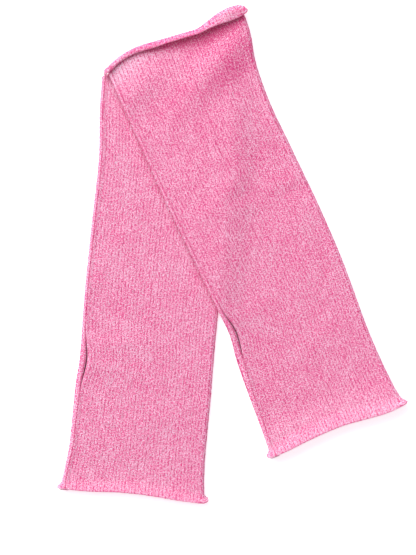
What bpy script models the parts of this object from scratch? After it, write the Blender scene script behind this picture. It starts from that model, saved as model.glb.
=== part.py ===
# A pair of knitted arm warmers, laid flat on a surface, one over the other.
# Metres, +Z up. The surface is z = 0 and the arm warmers point up along +Y.
# Each one is a single knitted panel, folded to a flat tube and seamed on the front beside its left fold.
# Tables and cloth sizes are in millimetres, and MM turns them to metres.

import math

import bmesh
import bpy
import numpy as np

MM = 0.001

# The cloth, folded flat: a back layer on the surface and a front layer on it.
WALL = 2.0
HOLLOW = 0.6
TUBE_HEIGHT = 2 * WALL + HOLLOW
FLAT_INSET = TUBE_HEIGHT / 2
FOLD_RADIUS = (WALL + HOLLOW) / 2
SHARP_ANGLE = math.radians(50)

# The seam, and the thumb slit where it is left unsewn.
SEAM_GAP = 0.3
SLIT_GAP = 1.4
SLIT_START = 67.0
SLIT_LENGTH = 39.0

# The upper arm warmer lies on the lower one. Past its edges it drapes down, steeply at first and then slowly,
# and past its elbow end hardly at all.
REST_GAP = 0.3
DRAPE_START = 3.0
DRAPE_RUN = 14.0
SLUMP_RUN = 52.0
SLUMP_SHARE = 0.45
ELBOW_SLACK = 0.3

# Rows of points along the cloth, and columns round it.
HAND_CURL_ROWS = 4
ELBOW_CURL_ROWS = 8
BODY_STATIONS = (0, 9, 19, 32, 46, 58, 66, 70, 78, 87, 95, 102, 106, 115, 127, 140, 153, 166, 179, 192,
                 204, 215, 226, 237, 247, 256, 264, 271, 277, 281, 284)
LAYER_COLUMNS = 13
FOLD_COLUMNS = 4
SEAM_SIDE_COLUMNS = 5
RIGHT_FOLD_MIDDLE = 1.5
LEFT_FOLD_MIDDLE = 3.5

YARN_COLOUR = (0.86, 0.29, 0.47, 1.0)
YARN_ROUGHNESS = 0.95


def table(columns, *rows):
    """Turn rows of numbers into named columns."""
    return dict(zip(columns.split(), np.array(rows, float).T))


# folds: station is the distance from the hand hem, left and right the folds' distance from the middle line,
# and seam how far the seam lies in from the left fold.
# hand, elbow and their sides: across is the place along an open end, reach how far it comes, radius and turn
# how its edge curls, and tail the straight cloth after the curl.
# creases: along and across are a soft crease's middle, heading its degrees from the arm's line, then its size.
UNDER = {
    "hem_middle": (-67.6, -164.0),
    "lean": 5.65,
    "folds": table(
        "station left right seam",
        (0, 50.2, 49.6, 2.8),
        (12, 48.7, 48.1, 2.8),
        (26, 47.1, 47.2, 3.0),
        (50, 46.7, 46.9, 3.2),
        (70, 46.7, 46.9, 3.9),
        (90, 45.6, 46.5, 5.0),
        (108, 46.1, 46.2, 2.8),
        (130, 46.7, 46.2, 2.6),
        (180, 46.6, 46.4, 2.6),
        (232, 46.4, 46.0, 2.6),
        (262, 48.9, 43.4, 2.6),
        (284, 49.3, 40.0, 2.6),
    ),
    "hand": table(
        "across reach radius turn tail",
        (-46, 1.6, 8.0, 36, 4.0),
        (-33, 1.5, 9.0, 34, 5.0),
        (-7, 0.0, 9.0, 34, 6.0),
        (14, 0.4, 9.0, 34, 6.0),
        (30, 1.6, 9.0, 36, 5.0),
        (47, 2.2, 8.0, 46, 3.0),
    ),
    "hand_sides": table(
        "across reach radius turn tail",
        (-50, 0.2, 3.2, 70, 0.9),
        (50, -1.0, 4.3, 75, 0.8),
    ),
    "elbow": table(
        "across reach radius turn tail",
        (-48, 283.0, 3.0, 0, 5.0),
        (-43, 286.0, 3.0, 0, 5.0),
        (0, 286.0, 3.0, 0, 5.0),
        (48, 283.8, 3.0, 0, 5.0),
    ),
    "elbow_sides": table(
        "across reach radius turn tail",
        (-50, 283.0, 2.4, 15, 1.5),
        (50, 282.0, 2.4, 15, 1.5),
    ),
    "creases": table(
        "along across heading length width height",
        (-4, 0, 90, 300, 12.0, 1.6),
        (101, -22, 80, 44, 7.0, 0.7),
        (52, 12, 70, 50, 9.0, 0.5),
    ),
}

OVER = {
    "hem_middle": (73.0, -118.8),
    "lean": -22.68,
    "folds": table(
        "station left right seam",
        (0, 50.2, 48.8, 3.0),
        (9, 49.5, 47.0, 3.0),
        (22, 48.8, 46.0, 3.2),
        (48, 47.8, 45.2, 4.0),
        (70, 46.5, 45.8, 5.1),
        (88, 44.1, 46.8, 5.0),
        (106, 45.1, 47.4, 2.8),
        (125, 46.0, 47.4, 2.6),
        (150, 47.4, 46.8, 2.6),
        (190, 49.4, 44.8, 2.6),
        (232, 50.3, 43.3, 2.6),
        (255, 50.9, 45.2, 2.6),
        (275, 51.6, 49.5, 2.6),
        (292, 51.8, 50.3, 2.6),
    ),
    "hand": table(
        "across reach radius turn tail",
        (-48, 1.6, 8.0, 38, 5.0),
        (-39, 1.4, 10.0, 34, 7.5),
        (-22, 0.3, 10.0, 32, 9.0),
        (8, 0.3, 10.0, 30, 9.0),
        (22, 2.1, 10.0, 30, 9.0),
        (38, 3.7, 10.0, 32, 8.0),
        (48, 3.3, 8.0, 40, 5.0),
    ),
    "hand_sides": table(
        "across reach radius turn tail",
        (-50, -1.0, 2.8, 72, 0.9),
        (50, 1.6, 5.0, 62, 1.0),
    ),
    "elbow": table(
        "across reach radius turn tail",
        (-51, 288.8, 1.9, 140, 1.6),
        (-42, 292.1, 1.9, 205, 1.4),
        (-30, 294.1, 2.0, 195, 1.6),
        (-12, 292.7, 2.4, 145, 3.0),
        (6, 290.7, 2.4, 132, 3.4),
        (17, 289.9, 2.4, 134, 3.6),
        (24, 291.6, 2.5, 148, 3.9),
        (33, 293.9, 2.8, 175, 4.4),
        (42, 294.6, 2.9, 195, 4.8),
        (49, 293.6, 2.6, 185, 4.0),
    ),
    "elbow_sides": table(
        "across reach radius turn tail",
        (-50, 287.6, 2.2, 90, 1.0),
        (50, 290.4, 1.5, 120, 1.2),
    ),
    "creases": table(
        "along across heading length width height",
        (-6, 0, 90, 400, 18.0, 3.4),
        (264, 22, 63, 56, 9.0, 2.2),
        (267, -38, 76, 40, 11.0, 2.6),
        (176, -14, 66, 40, 6.0, 0.8),
        (168, 20, 84, 60, 6.0, 0.8),
    ),
}

# The back layer ends a little inside the front's edge, flat on what it lies on.
BACK_SHORT = 1.5


def follow(curve, column, places):
    """Read a smooth curve through a table's rows, level beyond its ends."""
    where = next(iter(curve.values()))
    value = curve[column]
    slope = np.gradient(value, where)
    row = np.clip(np.searchsorted(where, places) - 1, 0, len(where) - 2)
    span = where[row + 1] - where[row]
    step = np.clip((places - where[row]) / span, 0, 1)
    rest = 1 - step
    ends = value[row] * rest**2 * (1 + 2 * step) + value[row + 1] * step**2 * (1 + 2 * rest)
    return ends + span * step * rest * (slope[row] * rest - slope[row + 1] * step)


def slit_opening(station):
    """Return how far the two selvedges stand apart: a seam's gap, and a lens at the thumb slit."""
    from_middle = (station - SLIT_START - SLIT_LENGTH / 2) / (SLIT_LENGTH / 2)
    return SEAM_GAP + (SLIT_GAP - SEAM_GAP) * np.clip(1 - from_middle**2, 0, 1)


def ring(warmer, side, station):
    """Return across, height and the outward normal of the wall's middle at a place round the tube.

    side runs 0 to 1 over the front from the seam, to 2 round the right fold, to 3 over the back
    and to 4 round the left fold and back to the seam.
    """
    left = follow(warmer["folds"], "left", station)
    right = follow(warmer["folds"], "right", station)
    seam = follow(warmer["folds"], "seam", station)
    opening = slit_opening(station)
    start = seam + opening / 2 - left
    right_centre = right - FLAT_INSET
    left_centre = FLAT_INSET - left
    part = np.clip(np.floor(side), 0, 3)
    share = side - part
    bend = math.pi * FOLD_RADIUS
    strip = seam - opening / 2 - FLAT_INSET
    walked = share * (bend + strip)
    turned = math.pi * np.clip(walked / bend, 0, 1)
    angle = np.select(
        [part == 0, part == 1, part == 2],
        [math.pi / 2, math.pi * (0.5 - share), -math.pi / 2],
        -math.pi / 2 - turned,
    )
    centre = np.select(
        [part == 0, part == 1, part == 2],
        [
            start + share * (right_centre - start),
            right_centre,
            right_centre + share * (left_centre - right_centre),
        ],
        left_centre + np.clip(walked - bend, 0, None),
    )
    normal_across = np.cos(angle)
    normal_up = np.sin(angle)
    return centre + FOLD_RADIUS * normal_across, FLAT_INSET + FOLD_RADIUS * normal_up, normal_across, normal_up


def curl_extent(curl):
    """Return how far past its start a curled edge reaches, along the arm."""
    turn = np.radians(curl["turn"])
    lip = WALL / 2 * np.sin(turn)
    short_of_upright = curl["radius"] * np.sin(turn) + curl["tail"] * np.cos(turn) + lip
    return np.where(turn < math.pi / 2, short_of_upright, curl["radius"] + WALL / 2)


def edge_curl(warmer, end, across, normal_up):
    """Return where an open end starts to curl, and its radius, turn and tail, at a place round the tube.

    The front layer curls as its table says and the two folds as theirs, and the back layer stays flat.
    """
    front = np.clip(normal_up, 0, 1)
    back = np.clip(-normal_up, 0, 1)
    fold = 1 - front - back
    columns = ("reach", "radius", "turn", "tail")
    layer = {column: follow(warmer[end], column, across) for column in columns}
    side = {column: follow(warmer[end + "_sides"], column, across) for column in columns}
    layer_extent = curl_extent(layer)
    start = (1 - fold) * (layer["reach"] - layer_extent) + fold * (side["reach"] - curl_extent(side))
    radius = (1 - fold) * layer["radius"] + fold * side["radius"]
    turn = np.radians(front * layer["turn"] + fold * side["turn"])
    tail = front * layer["tail"] + fold * side["tail"] + back * (layer_extent - BACK_SHORT)
    return start, radius, turn, tail


def crease_lift(warmer, along, across):
    """Return how far the soft creases lift the front layer."""
    creases = warmer["creases"]
    lift = 0.0
    for n in range(len(creases["along"])):
        heading = math.radians(creases["heading"][n])
        from_along = along - creases["along"][n]
        from_across = across - creases["across"][n]
        down = from_along * math.cos(heading) + from_across * math.sin(heading)
        aside = from_across * math.cos(heading) - from_along * math.sin(heading)
        spread = (aside / creases["width"][n]) ** 2 + (2 * down / creases["length"][n]) ** 2
        lift = lift + creases["height"][n] * np.exp(-spread)
    return lift


def under_height(x, y):
    """Return how high the lower arm warmer lifts the cloth that lies over a point of the surface."""
    lean = math.radians(UNDER["lean"])
    from_x = x - UNDER["hem_middle"][0]
    from_y = y - UNDER["hem_middle"][1]
    along = from_x * math.sin(lean) + from_y * math.cos(lean)
    across = from_x * math.cos(lean) - from_y * math.sin(lean)
    past_left = -across - follow(UNDER["folds"], "left", along)
    past_right = across - follow(UNDER["folds"], "right", along)
    past_elbow = along - follow(UNDER["elbow"], "reach", across)
    past_side = np.maximum(past_left, past_right) - DRAPE_START
    past = np.hypot(np.clip(past_side, 0, None), np.clip(past_elbow - DRAPE_START, 0, None) * ELBOW_SLACK)
    drape = np.clip(past / DRAPE_RUN, 0, 1)
    slump = np.clip(past / SLUMP_RUN, 0, 1)
    fall = (1 - SLUMP_SHARE) * drape**2 * (3 - 2 * drape) + SLUMP_SHARE * slump * (2 - slump)
    return (TUBE_HEIGHT + REST_GAP) * (1 - fall)


def cloth(warmer, side, row, offset, lying_on=None):
    """Return a point of the cloth, in millimetres.

    row runs -1 to 0 along the hand hem's curl, to 1 along the arm and to 2 along the elbow end's curl.
    offset is how far the point lies out from the wall's middle.
    """
    whole = np.clip(row, 0, 1)
    across, height, normal_across, normal_up = ring(warmer, side, whole * BODY_STATIONS[-1])
    hand_reach, *hand = edge_curl(warmer, "hand", across, normal_up)
    elbow_start, *elbow = edge_curl(warmer, "elbow", across, normal_up)
    hand_start = -hand_reach
    along = hand_start + whole * (elbow_start - hand_start)
    across, height, normal_across, normal_up = ring(warmer, side, along)
    radius, turn, tail = (np.where(row < 0, a, b) for a, b in zip(hand, elbow))
    onward = np.where(row < 0, -1.0, 1.0)
    arc = np.where(row < 0, -row, np.clip(row - 1, 0, None)) * (radius * turn + tail)
    angle = np.minimum(arc / radius, turn)
    straight = np.clip(arc - radius * turn, 0, None)
    front = np.clip(normal_up, 0, 1)
    out = radius * (1 - np.cos(angle)) + straight * np.sin(angle)
    lift = crease_lift(warmer, along, across)
    thickness = offset * np.cos(angle)
    along = along + onward * (radius * np.sin(angle) + straight * np.cos(angle) - offset * np.sin(angle))
    across = across + normal_across * (out + thickness)
    height = height + front * (out + lift) + normal_up * thickness
    lean = math.radians(warmer["lean"])
    x = warmer["hem_middle"][0] + along * math.sin(lean) + across * math.cos(lean)
    y = warmer["hem_middle"][1] + along * math.cos(lean) - across * math.sin(lean)
    if lying_on is not None:
        height = height + lying_on(x, y)
    return np.stack([x, y, np.maximum(height, 0.0)], axis=-1)


def rows_along():
    """Return the rows of the cloth, from the hand hem's edge to the elbow end's edge."""
    hand = np.linspace(-1, 0, HAND_CURL_ROWS, endpoint=False)
    body = np.array(BODY_STATIONS) / BODY_STATIONS[-1]
    elbow = np.linspace(1, 2, ELBOW_CURL_ROWS + 1)[1:]
    return np.concatenate([hand, body, elbow])


def sides_round():
    """Return the columns of the cloth, from the seam round the tube to the seam."""
    counts = (LAYER_COLUMNS, FOLD_COLUMNS, LAYER_COLUMNS, SEAM_SIDE_COLUMNS)
    parts = [np.linspace(n, n + 1, count, endpoint=False) for n, count in enumerate(counts)]
    return np.append(np.concatenate(parts), 4.0)


def yarn_material(name):
    """Make the wool's material."""
    material = bpy.data.materials.new(name)
    material.use_nodes = True
    shader = material.node_tree.nodes["Principled BSDF"]
    shader.inputs["Base Color"].default_value = YARN_COLOUR
    shader.inputs["Roughness"].default_value = YARN_ROUGHNESS
    shader.inputs["Metallic"].default_value = 0.0
    return material


def join_rows(bm, rows, rows_next, on_front):
    """Join two rows of points by triangles, with the same diagonals on the front and the back layer."""
    for n, front in enumerate(on_front):
        a, b = rows[n], rows[n + 1]
        c, d = rows_next[n + 1], rows_next[n]
        halves = ((a, b, c), (a, c, d)) if front else ((a, b, d), (b, c, d))
        for half in halves:
            bm.faces.new(half)


def knit_arm_warmer(name, warmer, lying_on=None):
    """Make one arm warmer: its panel's outer and inner face, joined at its ends and its selvedges."""
    sides = sides_round()
    side, row = np.meshgrid(sides, rows_along())
    bm = bmesh.new()
    faces_rows = []
    for offset in (WALL / 2, -WALL / 2):
        points = cloth(warmer, side, row, offset, lying_on) * MM
        faces_rows.append([[bm.verts.new(point) for point in line] for line in points])
    middles = (sides[1:] + sides[:-1]) / 2
    on_front = (middles < RIGHT_FOLD_MIDDLE) | (middles > LEFT_FOLD_MIDDLE)
    for rows in faces_rows:
        for line, line_next in zip(rows, rows[1:]):
            join_rows(bm, line, line_next, on_front)
    outer, inner = faces_rows
    for edge in (0, -1):
        join_rows(bm, outer[edge], inner[edge], on_front)
        selvedge = [line[edge] for line in outer]
        join_rows(bm, selvedge, [line[edge] for line in inner], [True] * (len(selvedge) - 1))
    bmesh.ops.recalc_face_normals(bm, faces=bm.faces)
    mesh = bpy.data.meshes.new(name)
    bm.to_mesh(mesh)
    bm.free()
    mesh.shade_smooth()
    mesh.set_sharp_from_angle(angle=SHARP_ANGLE)
    mesh.materials.append(yarn_material(name + "_wool"))
    arm_warmer = bpy.data.objects.new(name, mesh)
    bpy.context.scene.collection.objects.link(arm_warmer)
    return arm_warmer


for old in list(bpy.data.objects):
    bpy.data.objects.remove(old, do_unlink=True)

knit_arm_warmer("under_arm_warmer", UNDER)
knit_arm_warmer("over_arm_warmer", OVER, lying_on=under_height)
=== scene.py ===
import math

import bmesh
import bpy
import numpy as np
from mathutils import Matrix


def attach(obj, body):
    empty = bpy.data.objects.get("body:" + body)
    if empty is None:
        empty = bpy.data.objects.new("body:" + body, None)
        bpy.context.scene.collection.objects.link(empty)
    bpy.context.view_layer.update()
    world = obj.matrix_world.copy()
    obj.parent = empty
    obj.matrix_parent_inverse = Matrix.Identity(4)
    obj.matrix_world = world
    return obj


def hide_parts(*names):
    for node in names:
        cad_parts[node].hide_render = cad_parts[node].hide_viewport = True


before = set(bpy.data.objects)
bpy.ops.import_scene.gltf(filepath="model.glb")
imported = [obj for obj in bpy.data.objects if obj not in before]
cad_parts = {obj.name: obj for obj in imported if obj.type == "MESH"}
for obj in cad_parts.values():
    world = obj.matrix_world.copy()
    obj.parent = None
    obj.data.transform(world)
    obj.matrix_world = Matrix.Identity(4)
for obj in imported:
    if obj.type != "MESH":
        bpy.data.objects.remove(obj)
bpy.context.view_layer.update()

# The lower arm warmer. One panel of plain stockinette in pink marl wool, knitted flat, folded at its right
# side and joined along its left, with bare ends that roll outwards. It lies flat, hand hem towards -Y.
# The shell is a grid of stitches laid on the cloth's form, four points across a stitch and two along it.

MM = 0.001

# The cloth, folded flat, in millimetres as in all the tables. The elbow end's curl is read at LAST_STATION,
# and the back layer ends BACK_SHORT inside the front one.
WALL = 2.0
HOLLOW = 0.6
TUBE_HEIGHT = 2 * WALL + HOLLOW
FLAT_INSET = TUBE_HEIGHT / 2
FOLD_RADIUS = (WALL + HOLLOW) / 2
LAST_STATION = 284.0
BACK_SHORT = 1.5

# The seam, whose edges press together, and the thumb slit where it is left unsewn.
SEAM_GAP = -0.1
SLIT_GAP = 0.7
SLIT_START = 67.0
SLIT_LENGTH = 39.0
SEWN_ROUNDING = 0.25
OPEN_ROUNDING = 0.9
SEAM_RIDGE = 0.6
RIDGE_WIDTH = 1.4
SLIT_SWELL = 0.5
SWELL_WIDTH = 7.0
SWELL_NOTCH = 1.5

# The knitting: wales in the front, the right fold, the back and the left fold, and courses from end to end.
# LAST_SIDE is the last place round the tube, just short of the seam, where the round starts.
WALES = (39, 2, 39, 2)
COURSES = 184
CUT_LENGTH = 300.0
POINTS_PER_WALE = 4
POINTS_PER_COURSE = 2
EDGE_ROUNDING = 0.8
EDGE_STEPS = 4
LAST_SIDE = 4 - 1e-9

# How far the cloth runs on inside its edges: by courses at an open end, the last of which meet the other
# layer, and by millimetres at a selvedge.
TUCK_COURSES = 9
MEET_COURSES = 4
FRONT_TUCK = (1.1, 2.2)
BACK_TUCK = (1.1, 2.2, 3.2, 4.2, 5.2, 6.5)

# The stitches' relief in millimetres, and the slant of their legs in courses, which fades at an open end.
# LOOSENESS is the share by which the relief varies from point to point. UNEVEN is how far points stray,
# sideways only up to STEADY_FROM round the tube.
LEG_SLANT = 0.95
PLAIN_EDGE = 2
WALE_GROOVE = 0.40
LEG_GROOVE = 0.25
COURSE_GROOVE = 0.20
PURL_DEPTH = 0.36
CHAIN_DEPTH = 0.8
LOOSENESS = 0.80
UNEVEN = 0.035
WOBBLE_LIMIT = 1.5
STEADY_FROM = 3.9

# Painted shadow under the elbow end's lip: the wool is painted darker there, and a deeper pink, where the lip
# shades it. Its two reaches are multiples of the elbow table's shade. CONTACT_SHARE of the painted deep pink
# shows right under the lip, and all of it CONTACT_RUN millimetres further. CLEAR_OF_LIP keeps it off the
# curl, whose own painted shading sets in LIP_ONSET times as fast as the curl is long. The thumb slit's open
# edges are painted shade too.
LIP_PAINTED_SHADOW = 0.34
PAINTED_SHADOW_REACH = 2.2
PAINTED_SHADE_REACH = 2
CONTACT_SHARE = 0.55
CONTACT_RUN = 2.5
CLEAR_OF_LIP = 9
LIP_ONSET = 2
SLIT_PAINTED_SHADE = 0.8

# The stitch map: how many wales and courses it spans, and where the first of each lies in it.
UV_WALES = 100
UV_COURSES = 225
FIRST_WALE = 5
FIRST_COURSE = 20


def table(columns, *rows):
    """Turn rows of numbers into named columns."""
    return dict(zip(columns.split(), np.array(rows, float).T))


def follow(curve, column, places):
    """Read a smooth curve through a table's rows, level beyond its ends."""
    where = next(iter(curve.values()))
    value = curve[column]
    slope = np.gradient(value, where)
    row = np.clip(np.searchsorted(where, places) - 1, 0, len(where) - 2)
    span = where[row + 1] - where[row]
    step = np.clip((places - where[row]) / span, 0, 1)
    rest = 1 - step
    ends = value[row] * rest**2 * (1 + 2 * step) + value[row + 1] * step**2 * (1 + 2 * rest)
    return ends + span * step * rest * (slope[row] * rest - slope[row + 1] * step)


# station: distance from the hand hem. left, right: from the middle line to each fold.
# seam: how far in from the left fold it runs.
# across: place along an open end. reach: how far that end comes.
# radius, turn, tail: how its edge curls, by how many degrees, and the straight part that follows.
# shade: the scale of the painted shadow below the elbow end's lip. lip: the curl's painted light and shade,
# how much lighter, or darker, it is painted.
# along, across: a crease's middle. heading: degrees from the arm's line. length, width, height: its size.
# tone: painted light and shade, how much lighter, or darker, its wool is painted, mostly where the cloth
# slopes towards or away from the light.
LOWER = {
    "hem_middle": (-67.6, -164.0),
    "lean": 5.65,
    "folds": table(
        "station left right seam",
        (0, 50.2, 49.6, 2.8),
        (12, 48.7, 48.1, 2.8),
        (26, 47.1, 47.2, 3.0),
        (50, 46.7, 46.9, 3.2),
        (70, 46.7, 46.9, 3.9),
        (90, 45.6, 46.5, 5.0),
        (108, 46.1, 46.2, 2.8),
        (130, 46.7, 46.2, 2.6),
        (180, 46.6, 46.4, 2.6),
        (232, 46.4, 46.0, 2.6),
        (262, 48.9, 43.4, 2.6),
        (284, 49.3, 40.0, 2.6),
    ),
    "hand": table(
        "across reach radius turn tail",
        (-46, 1.6, 8.0, 36, 4.0),
        (-33, 1.5, 9.0, 34, 5.0),
        (-7, 0.0, 9.0, 34, 6.0),
        (14, 0.4, 9.0, 34, 6.0),
        (30, 1.6, 9.0, 36, 5.0),
        (47, 2.2, 8.0, 46, 3.0),
    ),
    "hand_sides": table(
        "across reach radius turn tail",
        (-50, 0.2, 3.2, 70, 0.9),
        (50, -1.0, 4.3, 75, 0.8),
    ),
    "elbow": table(
        "across reach radius turn tail shade lip",
        (-48, 283.6, 3.0, 0, 5.0, 0.1, 0.0),
        (-43, 286.0, 3.0, 0, 5.0, 0.1, 0.0),
        (0, 286.0, 3.0, 0, 5.0, 0.1, 0.0),
        (48, 283.8, 3.0, 0, 5.0, 0.1, 0.0),
    ),
    "elbow_sides": table(
        "across reach radius turn tail",
        (-50, 283.0, 2.4, 15, 1.5),
        (50, 282.0, 2.4, 15, 1.5),
    ),
    "creases": table(
        "along across heading length width height tone",
        (-4, 0, 90, 300, 12.0, 1.6, 0.06),
        (101, -22, 80, 44, 7.0, 0.7, 0.0),
        (84, -30, 96, 36, 6.0, 0.5, 0.0),
        (52, 12, 70, 50, 9.0, 0.5, -0.05),
        (30, -20, 100, 40, 8.0, 0.4, -0.05),
        (150, -36, 20, 50, 5.0, 0.4, 0.0),
        (150, 0, 0, 600, 80.0, 0.0, 0.04),
    ),
}


def slit_lens(station):
    """Return 1 at the middle of the thumb slit, falling to 0 at its two ends."""
    from_middle = (station - SLIT_START - SLIT_LENGTH / 2) / (SLIT_LENGTH / 2)
    return np.clip(1 - from_middle**2, 0, 1)


def ring(warmer, side, shift, station):
    """Return across, height and the outward normal of the wall's middle at a place round the tube.

    side runs 0 to 1 over the front from the seam, to 2 round the right fold, to 3 over the back
    and to 4 round the left fold and back to the seam. shift moves a selvedge's point round the tube,
    up to 1 by that share of the edge's rounding and past 1 in millimetres.
    """
    left = follow(warmer["folds"], "left", station)
    right = follow(warmer["folds"], "right", station)
    seam = follow(warmer["folds"], "seam", station)
    open_share = slit_lens(station)
    opening = SEAM_GAP + (SLIT_GAP - SEAM_GAP) * open_share
    rounding = SEWN_ROUNDING + (OPEN_ROUNDING - SEWN_ROUNDING) * open_share
    shift = shift * np.where(np.abs(shift) > 1, 1.0, rounding)
    start = seam + opening / 2 - left + rounding
    right_centre = right - FLAT_INSET
    left_centre = FLAT_INSET - left
    part = np.clip(np.floor(side), 0, 3)
    share = side - part
    bend = math.pi * FOLD_RADIUS
    strip = seam - opening / 2 - FLAT_INSET - rounding
    walked = share * (bend + strip) + shift
    turned = math.pi * np.clip(walked / bend, 0, 1)
    angle = np.select(
        [part == 0, part == 1, part == 2],
        [math.pi / 2, math.pi * (0.5 - share), -math.pi / 2],
        -math.pi / 2 - turned,
    )
    centre = np.select(
        [part == 0, part == 1, part == 2],
        [
            start + share * (right_centre - start) + shift,
            right_centre,
            right_centre + share * (left_centre - right_centre),
        ],
        left_centre + np.clip(walked - bend, 0, None) - np.minimum(walked, 0),
    )
    normal_across = np.cos(angle)
    normal_up = np.sin(angle)
    across = centre + FOLD_RADIUS * normal_across
    height = FLAT_INSET + FOLD_RADIUS * normal_up
    return across, height, normal_across, normal_up


def curl_extent(curl):
    """Return how far past its start a curled edge reaches, along the arm."""
    turn = np.radians(curl["turn"])
    lip = WALL / 2 * np.sin(turn)
    short_of_upright = curl["radius"] * np.sin(turn) + curl["tail"] * np.cos(turn) + lip
    return np.where(turn < math.pi / 2, short_of_upright, curl["radius"] + WALL / 2)


def edge_curl(warmer, end, across, normal_up):
    """Return where an open end starts to curl, and its radius, turn and tail, at a place round the tube."""
    front = np.clip(normal_up, 0, 1)
    back = np.clip(-normal_up, 0, 1)
    fold = 1 - front - back
    columns = ("reach", "radius", "turn", "tail")
    layer = {column: follow(warmer[end], column, across) for column in columns}
    beside = {column: follow(warmer[end + "_sides"], column, across) for column in columns}
    layer_extent = curl_extent(layer)
    start = (1 - fold) * (layer["reach"] - layer_extent) + fold * (beside["reach"] - curl_extent(beside))
    radius = (1 - fold) * layer["radius"] + fold * beside["radius"]
    turn = np.radians(front * layer["turn"] + fold * beside["turn"])
    tail = front * layer["tail"] + fold * beside["tail"] + back * (layer_extent - BACK_SHORT)
    return start, radius, turn, tail


def creased(warmer, column, along, across):
    """Return the sum of the soft creases at each place, each as strong as one of its columns says."""
    creases = warmer["creases"]
    total = 0.0
    for n in range(len(creases["along"])):
        heading = math.radians(creases["heading"][n])
        from_along = along - creases["along"][n]
        from_across = across - creases["across"][n]
        down = from_along * math.cos(heading) + from_across * math.sin(heading)
        aside = from_across * math.cos(heading) - from_along * math.sin(heading)
        spread = (aside / creases["width"][n]) ** 2 + (2 * down / creases["length"][n]) ** 2
        total = total + creases[column][n] * np.exp(-spread)
    return total


def front_lift(warmer, along, across):
    """Return how far the front layer's creases, its seam and the thumb slit's edges lift it."""
    lift = creased(warmer, "height", along, across)
    from_seam = across + follow(warmer["folds"], "left", along) - follow(warmer["folds"], "seam", along)
    swell = np.exp(-((from_seam / SWELL_WIDTH) ** 2)) - np.exp(-((from_seam / SWELL_NOTCH) ** 2))
    ridge = SEAM_RIDGE * np.exp(-((from_seam / RIDGE_WIDTH) ** 2))
    return lift + SLIT_SWELL * swell * slit_lens(along) + ridge * (1 - slit_lens(along))


def painted_lip_shadow(warmer, lip, along, across, curled):
    """Return how much darker the wool is painted below the elbow end's lip as painted shadow, and its painted
    deep pink.
    """
    below = np.clip(lip - along, 0, None)
    below_lip = below / follow(warmer["elbow"], "shade", across) + CLEAR_OF_LIP * curled
    painted_shadow = LIP_PAINTED_SHADOW * np.exp(-((below_lip / PAINTED_SHADOW_REACH) ** 2))
    touching = CONTACT_SHARE + (1 - CONTACT_SHARE) * np.clip(below / CONTACT_RUN, 0, 1)
    return painted_shadow, touching * np.clip(PAINTED_SHADE_REACH - below_lip, 0, 1)


def cloth(warmer, side, shift, share, round_by, offset, lying_on=None):
    """Return the cloth's points, in metres, with their painted light and shade and painted shadow under the
    elbow's lip.

    share runs 0 to 1 from the hand hem's edge to the elbow end's edge, and round_by is a distance past it
    in millimetres. offset is how far a point lies out from the wall's middle. lying_on gives the height
    of what the cloth lies on, where that isn't the surface.
    """
    curls = []
    for end, station in (("hand", 0.0), ("elbow", LAST_STATION)):
        across, _, _, normal_up = ring(warmer, side, shift, np.full_like(side, station))
        curls.append(edge_curl(warmer, end, across, normal_up))
    (hand_reach, *hand), (elbow_start, *elbow) = curls
    hand_arc = hand[0] * hand[1] + hand[2]
    elbow_arc = elbow[0] * elbow[1] + elbow[2]
    body = elbow_start + hand_reach
    whole = hand_arc + body + elbow_arc
    walked = EDGE_ROUNDING + share * (whole - 2 * EDGE_ROUNDING) + round_by
    along = np.clip(walked - hand_arc, 0, body) - hand_reach
    across, height, normal_across, normal_up = ring(warmer, side, shift, along)
    front = np.clip(normal_up, 0, 1)
    at_hand = walked < hand_arc
    curled = np.clip((walked - hand_arc - body) / elbow_arc * LIP_ONSET, 0, 1)
    lip = elbow_start + elbow[0] * np.sin(elbow[1]) + elbow[2] * np.cos(elbow[1])
    painted_shadow, painted_shade = painted_lip_shadow(warmer, lip, along, across, curled)
    lip_painted_shading = curled * follow(warmer["elbow"], "lip", across)
    # Painted light and shade: the creases' painted tones, less the painted shadow below the lip, plus the
    # curl's own.
    tone = front * (creased(warmer, "tone", along, across) - painted_shadow) + lip_painted_shading
    radius, turn, tail = (np.where(at_hand, a, b) for a, b in zip(hand, elbow))
    onward = np.where(at_hand, -1.0, 1.0)
    arc = np.where(at_hand, hand_arc - walked, np.clip(walked - hand_arc - body, 0, None))
    angle = np.minimum(arc / radius, turn)
    straight = np.clip(arc - radius * turn, 0, None)
    out = radius * (1 - np.cos(angle)) + straight * np.sin(angle)
    thickness = offset * np.cos(angle)
    height = height + front * (out + front_lift(warmer, along, across)) + normal_up * thickness
    along = along + onward * (radius * np.sin(angle) + straight * np.cos(angle) - offset * np.sin(angle))
    across = across + normal_across * (out + thickness)
    lean = math.radians(warmer["lean"])
    x = warmer["hem_middle"][0] + along * math.sin(lean) + across * math.cos(lean)
    y = warmer["hem_middle"][1] + along * math.cos(lean) - across * math.sin(lean)
    if lying_on is not None:
        height = height + lying_on(x, y)
    return np.stack([x, y, np.maximum(height, 0.0)], axis=-1) * MM, tone, front * painted_shade


def rounded(count):
    """Return the angles over a wall's rounded edge, from just past its outer face to its inner face."""
    return np.linspace(0, math.pi, count + 1)[1:]


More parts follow.
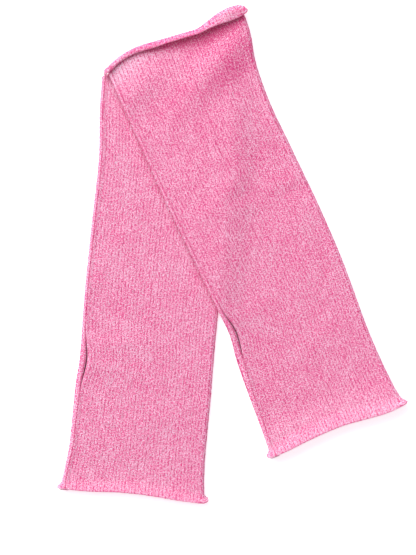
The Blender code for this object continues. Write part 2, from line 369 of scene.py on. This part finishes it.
def wale_columns(half):
    """Return wale, place round the tube, selvedge shift and edge angle of each column of points."""
    front, right, back, _ = WALES
    fold_middle = front + right / 2
    first, last = (0, fold_middle) if half == "front" else (fold_middle, sum(WALES))
    wale = np.linspace(first, last, round((last - first) * POINTS_PER_WALE) + 1)
    starts = (0, front, front + right, front + right + back, sum(WALES))
    side = np.interp(wale, starts, (0, 1, 2, 3, 4))
    edge = rounded(EDGE_STEPS)
    tuck = np.array(FRONT_TUCK if half == "front" else BACK_TUCK)
    inward = np.concatenate([-np.sin(edge), tuck])
    angle = np.concatenate([edge, np.full(len(tuck), math.pi)])
    if half == "front":
        wale = np.concatenate([-np.arange(len(inward), 0, -1) / POINTS_PER_WALE, wale])
        side = np.concatenate([np.zeros(len(inward)), side])
        shift = np.concatenate([inward[::-1], np.zeros(len(side) - len(inward))])
        angle = np.concatenate([angle[::-1], np.zeros(len(side) - len(inward))])
    else:
        side = np.minimum(side, LAST_SIDE)
        wale = np.concatenate([wale, wale[-1] + np.arange(1, len(inward) + 1) / POINTS_PER_WALE])
        shift = np.concatenate([np.zeros(len(side)), -inward])
        angle = np.concatenate([np.zeros(len(side)), angle])
        side = np.concatenate([side, np.full(len(inward), LAST_SIDE)])
    return wale, side, shift, angle


def course_rows():
    """Return course, share of the way, distance round the edge and edge angle of each row of points."""
    step = 1 / POINTS_PER_COURSE
    course = np.arange(0, COURSES + step, step)
    edge = rounded(EDGE_STEPS)
    tuck = np.arange(1, TUCK_COURSES * POINTS_PER_COURSE + 1) * step
    course_height = CUT_LENGTH / COURSES
    past = np.concatenate([EDGE_ROUNDING * np.sin(edge), -tuck * course_height])
    angle = np.concatenate([edge, np.full(len(tuck), math.pi)])
    extra = np.arange(1, len(past) + 1) * step
    course_all = np.concatenate([-extra[::-1], course, COURSES + extra])
    share = np.clip(course_all / COURSES, 0, 1)
    round_by = np.concatenate([-past[::-1], np.zeros(len(course)), past])
    angles = np.concatenate([angle[::-1], np.zeros(len(course)), angle])
    return course_all, share, round_by, angles


def stitch_points(warmer, half, seed, lying_on=None):
    """Return one half's points with its stitches in relief, its painted light and shade, wales and courses.
    """
    wale, side, shift, wale_angle = wale_columns(half)
    course, share, round_by, course_angle = course_rows()
    wale, course_grid = np.meshgrid(wale, course)
    side, share = np.meshgrid(side, share)
    shift, round_by = np.meshgrid(shift, round_by)
    wale_angle, course_angle = np.meshgrid(wale_angle, course_angle)
    in_wale = wale % 1
    in_course = course_grid % 1
    angle = np.maximum(wale_angle, course_angle)
    from_end = np.clip(np.minimum(course_grid, COURSES - course_grid) / PLAIN_EDGE, 0, 1)
    slant = LEG_SLANT * (np.abs(2 * in_wale - 1) - 0.5) * from_end
    between_wales = np.clip(np.cos(2 * math.pi * in_wale), 0, 1)
    between_legs = np.clip(-np.cos(2 * math.pi * in_wale), 0, 1)
    between_courses = (1 - between_wales) * np.cos(math.pi * in_course) ** 2
    random = np.random.default_rng(seed)
    knit = WALE_GROOVE * between_wales + LEG_GROOVE * between_legs + COURSE_GROOVE * between_courses
    knit = knit * random.uniform(1 - LOOSENESS, 1 + LOOSENESS, wale.shape)
    bump = 0.5 - 0.5 * np.cos(2 * math.pi * in_wale) * np.cos(2 * math.pi * in_course)
    purl = PURL_DEPTH * (1 - bump)
    chain = CHAIN_DEPTH * np.cos(math.pi * in_wale) ** 2 * np.sin(angle)
    inside = np.sin(angle / 2) ** 2
    wobble = random.normal(0, 1, wale.shape)
    sideways = random.normal(0, UNEVEN, wale.shape) / WALES[0] * (wale_angle == 0) * (side < STEADY_FROM)
    uneven = UNEVEN * np.clip(wobble, -WOBBLE_LIMIT, WOBBLE_LIMIT)
    depth = np.clip(knit * (1 - inside) + purl * inside + chain + uneven, 0, None)
    offset = (WALL / 2 - depth) * np.cos(angle)
    past_end = np.maximum(-course_grid, course_grid - COURSES)
    meeting = np.clip((past_end - TUCK_COURSES + MEET_COURSES) / MEET_COURSES, 0, 1)
    offset = offset - meeting * (HOLLOW / 2 + depth)
    share = share + slant / COURSES
    fixed = (wale == wale.min()) | (wale == wale.max()) | (wale == WALES[0] + WALES[1] / 2)
    side = np.where(fixed, side, side + sideways)
    points, tone, painted_shade = cloth(warmer, side, shift, share, round_by, offset, lying_on)
    # Painted shade: deep pink under the lip, and inside the thumb slit's open edges, which lie in shade.
    painted_shade = np.maximum(painted_shade * (1 - inside), SLIT_PAINTED_SHADE * np.sin(wale_angle / 2) ** 2)
    return points, {"tone": tone, "painted_shade": painted_shade}, wale, course_grid


class Signal:
    """A shader socket that takes part in Python's arithmetic, which adds its Math nodes."""

    def __init__(self, finish, socket):
        self.finish = finish
        self.socket = socket

    def math(self, operation, *values):
        inputs = dict(enumerate((self, *values)))
        return self.finish.node("ShaderNodeMath", {"operation": operation}, inputs)

    def __add__(self, other):
        return self.math("ADD", other)

    def __sub__(self, other):
        return self.math("SUBTRACT", other)

    def __mul__(self, other):
        return self.math("MULTIPLY", other)

    def __rsub__(self, other):
        return self * -1 + other

    __radd__ = __add__
    __rmul__ = __mul__

    def limit(self):
        """Keep the value between 0 and 1."""
        return self.math("MINIMUM", 1.0).math("MAXIMUM", 0.0)


class Finish:
    """A material and the one way its nodes are made."""

    def __init__(self, name):
        self.material = bpy.data.materials.new(name)
        self.material.use_nodes = True
        self.tree = self.material.node_tree
        self.shader = self.tree.nodes["Principled BSDF"]

    def feed(self, socket, value):
        if isinstance(value, Signal):
            self.tree.links.new(value.socket, socket)
        else:
            socket.default_value = value

    def node(self, kind, settings, inputs, output=0):
        made = self.tree.nodes.new(kind)
        for name, value in settings.items():
            setattr(made, name, value)
        for name, value in inputs.items():
            self.feed(made.inputs[name], value)
        return Signal(self, made.outputs[output])

    def noise(self, place, scale, detail, roughness=0.5):
        inputs = {"Vector": place, "Scale": scale, "Detail": detail, "Roughness": roughness}
        return self.node("ShaderNodeTexNoise", {}, inputs)

    def blend(self, factor, low, high):
        colours = {0: factor, 6: low, 7: high}
        return self.node("ShaderNodeMix", {"data_type": "RGBA"}, colours, output=2)


# The marl: a light and a darker pink ply twisted together, and deep pinks that are painted shade between
# stitches and under the lip. SPECKS and PATCHES are the noise's cells across a wale and along a course.
LIGHT_PLY = (0.93, 0.70, 0.85, 1.0)
DARK_PLY = (0.80, 0.062, 0.27, 1.0)
GROOVE_SHADE_PINK = (0.64, 0.038, 0.19, 1.0)
PAINTED_SHADE_PINK = (0.66, 0.058, 0.215, 1.0)
SHEEN_TINT = (1.0, 0.78, 0.88, 1.0)
SPECKS = (3.1, 2.8)
PATCHES = (0.9, 1.3)
STRAND_SCALE = 3.2
MOTTLE_SCALE = 120.0
FIBRE_SCALE = 2600.0
TWISTS_PER_COURSE = 3.0
TWIST_SLANT = 1.5
TWIST_STRAY = 1.6

# How strongly each part of the marl shows, and how light the whole is.
SPECKLE_SHOW = 7.8
STRAND_SHOW = 1.0
TWIST_SHOW = 0.35
MOTTLE_SHOW = 0.8
FIBRE_SHOW = 0.3
LIGHTNESS = 0.42

# How much shade is painted, as deeper pink, between wales, between a stitch's legs and between courses, more
# where the knitting is loose, and how much painted shade goes under the lip and how much of the marl still
# shows there.
WALE_PAINTED_SHADE = 0.90
LEG_PAINTED_SHADE = 0.16
COURSE_PAINTED_SHADE = 0.14
LOOSE_SHOW = 5.0
LOOSE_MIDDLE = 0.6
PAINTED_SHADE_SHARE = 0.97
PAINTED_SHADE_MARL = 0.6


def marl_wool():
    """Make the knitted wool: plies, painted shade in the grooves, soft mottling, fine fibres, painted light
    and shade.
    """
    wool = Finish("pink_marl_wool")
    stitch = wool.node("ShaderNodeUVMap", {"uv_map": "knit"}, {})
    stitch = wool.node("ShaderNodeMapping", {}, {"Vector": stitch, "Scale": (UV_WALES, UV_COURSES, 1.0)})
    wale = wool.node("ShaderNodeSeparateXYZ", {}, {0: stitch}, output=0)
    course = wool.node("ShaderNodeSeparateXYZ", {}, {0: stitch}, output=1)
    place = wool.node("ShaderNodeTexCoord", {}, {}, output=3)
    tone = wool.node("ShaderNodeAttribute", {"attribute_name": "tone"}, {}, output=2)
    painted_shade = wool.node("ShaderNodeAttribute", {"attribute_name": "painted_shade"}, {}, output=2)
    in_wale = (wale.math("FRACT") * 2 - 1).math("ABSOLUTE")
    straight_course = course + (in_wale - 0.5) * LEG_SLANT
    dot = wool.node("ShaderNodeCombineXYZ", {}, {0: wale * SPECKS[0], 1: straight_course * SPECKS[1]})
    speckle = wool.noise(dot, scale=1.0, detail=1.0, roughness=0.6)
    patch = wool.node("ShaderNodeCombineXYZ", {}, {0: wale * PATCHES[0], 1: course * PATCHES[1]})
    looseness = wool.noise(patch, scale=1.0, detail=0.0)
    strands = wool.noise(stitch, STRAND_SCALE, detail=3.0, roughness=0.7)
    mottle = wool.noise(place, MOTTLE_SCALE, detail=2.0)
    fibres = wool.noise(place, FIBRE_SCALE, detail=3.0)
    turns = course * TWISTS_PER_COURSE + in_wale * TWIST_SLANT + strands * TWIST_STRAY
    twist = (turns * (2 * math.pi)).math("SINE")
    plies = (speckle - 0.5) * SPECKLE_SHOW + (strands - 0.5) * STRAND_SHOW + twist * TWIST_SHOW
    light = plies + (mottle - 0.5) * MOTTLE_SHOW + (fibres - 0.5) * FIBRE_SHOW
    # The painted light and shade carried by the mesh moves the ply mix lighter or darker.
    light = (light + tone + LIGHTNESS).limit()
    ply = wool.blend(light, DARK_PLY, LIGHT_PLY)
    course_crest = (course * math.pi).math("SINE").math("ABSOLUTE")
    wale_wave = (wale * (2 * math.pi)).math("COSINE")
    between_wales = wale_wave.math("MAXIMUM", 0.0)
    between_legs = (wale_wave * -1).math("MAXIMUM", 0.0)
    # Painted shade: deeper pink in the grooves between wales, legs and courses, where the stitches shade each
    # other.
    depth = between_wales * between_wales * WALE_PAINTED_SHADE + between_legs * LEG_PAINTED_SHADE
    depth = depth + (1 - course_crest) * COURSE_PAINTED_SHADE
    groove_shade = depth * ((looseness - 0.5) * LOOSE_SHOW + LOOSE_MIDDLE).limit()
    yarn_and_groove_shade = wool.blend(groove_shade, ply, GROOVE_SHADE_PINK)
    # Painted shade: deep pink under the lip, in the thumb slit and along the pressed line, with some marl
    # left.
    deep = painted_shade * (PAINTED_SHADE_SHARE - light * PAINTED_SHADE_MARL)
    wool.feed(wool.shader.inputs["Base Color"], wool.blend(deep, yarn_and_groove_shade, PAINTED_SHADE_PINK))
    relief = fibres * 0.5 + twist * 0.25 + strands * 0.25
    bump = wool.node("ShaderNodeBump", {}, {"Strength": 0.6, "Distance": 0.0002, "Height": relief})
    wool.feed(wool.shader.inputs["Normal"], bump)
    wool.feed(wool.shader.inputs["Roughness"], 0.9)
    wool.feed(wool.shader.inputs["Specular IOR Level"], 0.10)
    wool.feed(wool.shader.inputs["Sheen Weight"], 0.04)
    wool.feed(wool.shader.inputs["Sheen Roughness"], 0.45)
    wool.feed(wool.shader.inputs["Sheen Tint"], SHEEN_TINT)
    return wool.material


def knit(name, warmer, half, node, seed, lying_on=None):
    """Knit one half of an arm warmer and give it its place in the frame."""
    points, told, wale, course = stitch_points(warmer, half, seed, lying_on)
    rows, columns = wale.shape
    bm = bmesh.new()
    bm.loops.layers.uv.new("knit")
    bmesh.ops.create_grid(bm, x_segments=columns - 1, y_segments=rows - 1, size=0.5, calc_uvs=True)
    mesh = bpy.data.meshes.new(name)
    bm.to_mesh(mesh)
    bm.free()
    mesh.vertices.foreach_set("co", points.reshape(-1))
    uv = np.stack([(wale + FIRST_WALE) / UV_WALES, (course + FIRST_COURSE) / UV_COURSES], axis=-1)
    uv = uv.reshape(-1, 2)
    corner = np.empty(len(mesh.loops), dtype=np.int32)
    mesh.loops.foreach_get("vertex_index", corner)
    mesh.uv_layers["knit"].data.foreach_set("uv", uv[corner].reshape(-1))
    for what, amount in told.items():
        mesh.attributes.new(what, "FLOAT", "POINT").data.foreach_set("value", amount.reshape(-1))
    mesh.shade_smooth()
    mesh.materials.append(WOOL)
    mesh.update()
    panel = bpy.data.objects.new(name, mesh)
    bpy.context.scene.collection.objects.link(panel)
    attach(panel, "root")
    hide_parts(node)
    return panel


WOOL = marl_wool()
lower_front = knit("lower_front_knit", LOWER, "front", "under_arm_warmer", seed=1)
lower_back = knit("lower_back_knit", LOWER, "back", "under_arm_warmer", seed=2)


# The upper arm warmer, knitted to the same pattern. It lies across the lower one and drapes off its right
# edge and its elbow end, and its own elbow end rolls back over itself, furthest at the right corner.

# How it drapes past the lower one's edges, in millimetres: at first steeply, then in a longer slump. Past
# the elbow end it falls more slowly, by ELBOW_SLACK.
REST_GAP = 0.3
DRAPE_START = -2.0
DRAPE_RUN = 22.0
SLUMP_RUN = 55.0
SLUMP_SHARE = 0.45
ELBOW_SLACK = 0.3

# How its left edge presses into the lower one, a little past its fold, with painted shade along that line.
PRESS_MIDDLE = 0.2
PRESS_WIDTH = 0.9
PRESS_DEPTH = 0.5
PRESS_PAINTED_SHADE = 0.25

UPPER = {
    "hem_middle": (73.0, -118.8),
    "lean": -22.68,
    "folds": table(
        "station left right seam",
        (0, 50.2, 48.8, 3.0),
        (9, 49.5, 47.0, 3.0),
        (22, 48.8, 46.0, 3.2),
        (48, 47.8, 45.2, 4.0),
        (70, 46.5, 45.8, 5.1),
        (88, 44.1, 46.8, 5.0),
        (106, 45.1, 47.4, 2.8),
        (125, 46.0, 47.4, 2.6),
        (150, 47.4, 46.8, 2.6),
        (190, 49.4, 44.8, 2.6),
        (232, 50.3, 43.3, 2.6),
        (255, 50.9, 45.2, 2.6),
        (275, 51.6, 49.5, 2.6),
        (292, 51.8, 50.3, 2.6),
    ),
    "hand": table(
        "across reach radius turn tail",
        (-48, 1.6, 8.0, 38, 5.0),
        (-39, 1.4, 10.0, 34, 7.5),
        (-22, 0.3, 10.0, 32, 9.0),
        (8, 0.3, 10.0, 30, 9.0),
        (22, 2.1, 10.0, 30, 9.0),
        (38, 3.7, 10.0, 32, 8.0),
        (48, 3.3, 8.0, 40, 5.0),
    ),
    "hand_sides": table(
        "across reach radius turn tail",
        (-50, -1.0, 2.8, 72, 0.9),
        (50, 1.6, 5.0, 62, 1.0),
    ),
    "elbow": table(
        "across reach radius turn tail shade lip",
        (-51, 288.8, 1.5, 185, 1.4, 0.5, -0.30),
        (-42, 292.1, 1.5, 205, 0.9, 0.5, -0.32),
        (-30, 294.1, 1.6, 200, 1.2, 0.8, -0.38),
        (-12, 292.7, 2.2, 148, 2.8, 1.8, -0.36),
        (6, 290.7, 2.4, 132, 3.4, 4.3, -0.28),
        (17, 289.9, 2.4, 134, 3.6, 5.4, -0.20),
        (24, 291.6, 2.5, 148, 3.9, 5.6, -0.08),
        (33, 293.9, 2.8, 175, 4.4, 5.4, 0.06),
        (42, 294.6, 2.9, 195, 4.8, 2.8, 0.08),
        (49, 293.6, 2.6, 185, 4.0, 1.6, -0.06),
    ),
    "elbow_sides": table(
        "across reach radius turn tail",
        (-50, 288.4, 1.2, 165, 2.6),
        (50, 290.4, 1.3, 130, 1.2),
    ),
    "creases": table(
        "along across heading length width height tone",
        (-6, 0, 90, 400, 18.0, 3.4, 0.06),
        (9, 0, 92, 400, 10.0, 0.8, 0.15),
        (22, 0, 92, 400, 5.0, 0.0, -0.08),
        (264, 22, 63, 56, 10.0, 2.8, 0.0),
        (255, 27, 63, 50, 9.0, 0.0, -0.24),
        (247, 30, 63, 56, 9.0, -1.1, 0.0),
        (267, -38, 76, 40, 11.0, 2.0, 0.0),
        (284, -42, 78, 40, 9.0, 0.0, 0.62),
        (150, 0, 0, 600, 80.0, 0.0, -0.04),
        (264, 40, 70, 70, 13.0, 0.0, -0.18),
        (212, 2, 146, 120, 8.0, 0.0, -0.10),
        (202, 32, 70, 44, 8.0, 0.0, -0.06),
        (146, -36, 20, 30, 8.0, 0.0, -0.12),
        (252, -12, 70, 40, 9.0, 0.0, -0.05),
        (176, -14, 66, 40, 6.0, 0.8, 0.0),
        (168, 20, 84, 60, 6.0, 0.8, 0.0),
        (168, 10, 104, 72, 5.0, -0.5, -0.12),
        (212, 34, 60, 44, 12.0, 0.5, 0.07),
        (142, 30, 70, 44, 10.0, 0.5, 0.07),
        (96, -26, 82, 40, 6.0, 0.5, -0.05),
        (60, 8, 70, 56, 9.0, 0.5, 0.0),
        (34, -18, 98, 44, 8.0, 0.3, 0.0),
        (120, 24, 30, 50, 8.0, 0.4, 0.0),
        (240, -20, 60, 50, 9.0, 0.5, 0.0),
    ),
}


def on_arm(warmer, x, y):
    """Return a point's place along and across an arm warmer."""
    lean = math.radians(warmer["lean"])
    from_x = x - warmer["hem_middle"][0]
    from_y = y - warmer["hem_middle"][1]
    along = from_x * math.sin(lean) + from_y * math.cos(lean)
    across = from_x * math.cos(lean) - from_y * math.sin(lean)
    return along, across


def press(panel, warmer):
    """Sink a panel a little, with painted shade in deeper pink, along the left edge of the arm warmer that
    lies on it.
    """
    place = np.empty(len(panel.data.vertices) * 3, dtype=np.float32)
    panel.data.vertices.foreach_get("co", place)
    place = place.reshape(-1, 3)
    along, across = on_arm(warmer, place[:, 0] / MM, place[:, 1] / MM)
    past_left = -across - follow(warmer["folds"], "left", along)
    pressed = np.exp(-(((past_left - PRESS_MIDDLE) / PRESS_WIDTH) ** 2)) * (along > 0)
    place[:, 2] = np.maximum(place[:, 2] - pressed * PRESS_DEPTH * MM, 0.0)
    panel.data.vertices.foreach_set("co", place.reshape(-1))
    # Painted shade: deeper pink along the pressed line.
    painted_shade = np.empty(len(place), dtype=np.float32)
    panel.data.attributes["painted_shade"].data.foreach_get("value", painted_shade)
    panel.data.attributes["painted_shade"].data.foreach_set("value", np.maximum(painted_shade, pressed * PRESS_PAINTED_SHADE))
    panel.data.update()


def lower_height(x, y):
    """Return how high the lower arm warmer lifts the cloth that lies over a point of the surface."""
    along, across = on_arm(LOWER, x, y)
    past_left = -across - follow(LOWER["folds"], "left", along)
    past_right = across - follow(LOWER["folds"], "right", along)
    past_elbow = along - follow(LOWER["elbow"], "reach", across)
    past_side = np.maximum(past_left, past_right) - DRAPE_START
    past = np.hypot(np.clip(past_side, 0, None), np.clip(past_elbow - DRAPE_START, 0, None) * ELBOW_SLACK)
    drape = np.clip(past / DRAPE_RUN, 0, 1)
    slump = np.clip(past / SLUMP_RUN, 0, 1)
    fall = (1 - SLUMP_SHARE) * drape**2 * (3 - 2 * drape) + SLUMP_SHARE * slump * (2 - slump)
    return (TUBE_HEIGHT + REST_GAP) * (1 - fall)


upper_front = knit("upper_front_knit", UPPER, "front", "over_arm_warmer", seed=3, lying_on=lower_height)
upper_back = knit("upper_back_knit", UPPER, "back", "over_arm_warmer", seed=4, lying_on=lower_height)
press(lower_front, UPPER)


# The setting: a white backing that the pair lies on, lit faintly from behind, soft light from the upper
# left and above, and a camera straight overhead with a long lens, framed as the pair is seen laid out.

BACKING_REACH = 3.0
BACKING_HEIGHT = -0.0002
BACKING_GLOW = 0.5
FILL_COLOUR = (1.0, 0.90, 0.945, 1.0)
FILL_STRENGTH = 0.60

floor_bm = bmesh.new()
bmesh.ops.create_grid(floor_bm, x_segments=1, y_segments=1, size=BACKING_REACH)
bmesh.ops.translate(floor_bm, verts=floor_bm.verts, vec=(0.0, 0.0, BACKING_HEIGHT))
floor_mesh = bpy.data.meshes.new("floor")
floor_bm.to_mesh(floor_mesh)
floor_bm.free()
floor = bpy.data.objects.new("floor", floor_mesh)
bpy.context.scene.collection.objects.link(floor)
pale = Finish("white_backing")
pale.feed(pale.shader.inputs["Base Color"], (0.92, 0.92, 0.92, 1.0))
pale.feed(pale.shader.inputs["Roughness"], 0.9)
pale.feed(pale.shader.inputs["Emission Color"], (1.0, 1.0, 1.0, 1.0))
pale.feed(pale.shader.inputs["Emission Strength"], BACKING_GLOW)
floor_mesh.materials.append(pale.material)

world = bpy.data.worlds.new("studio")
world.use_nodes = True
world.node_tree.nodes["Background"].inputs["Color"].default_value = FILL_COLOUR
world.node_tree.nodes["Background"].inputs["Strength"].default_value = FILL_STRENGTH
bpy.context.scene.world = world
bpy.context.scene.view_settings.view_transform = "Standard"


def softbox(name, place, target, size, power):
    """Hang a square softbox that faces a point of the surface."""
    light = bpy.data.lights.new(name, "AREA")
    light.shape = "SQUARE"
    light.size = size
    light.energy = power
    lamp = bpy.data.objects.new(name, light)
    lamp.location = place
    aim = np.array(place) - np.array(target)
    aim = aim / np.linalg.norm(aim)
    lamp.rotation_euler = (math.acos(aim[2]), 0.0, math.atan2(aim[1], aim[0]) + math.pi / 2)
    bpy.context.scene.collection.objects.link(lamp)


softbox("key_softbox", place=(-1.5, 1.8, 2.1), target=(0.0, 0.0, 0.0), size=3.0, power=114.0)

# The photo's frame: 416 by 555 pixels at 0.686 mm each, its middle at pixel (208, 277.5).
PIXEL = 0.000686
FRAME_HEIGHT = 555 * PIXEL
CAMERA_MIDDLE = (-0.01615, -0.0155)
CAMERA_HEIGHT = 2.4
camera_data = bpy.data.cameras.new("overhead")
camera_data.sensor_fit = "VERTICAL"
camera_data.sensor_height = 24.0
camera_data.lens = camera_data.sensor_height * CAMERA_HEIGHT / FRAME_HEIGHT
camera = bpy.data.objects.new("overhead", camera_data)
camera.location = (*CAMERA_MIDDLE, CAMERA_HEIGHT)
bpy.context.scene.collection.objects.link(camera)
bpy.context.scene.camera = camera
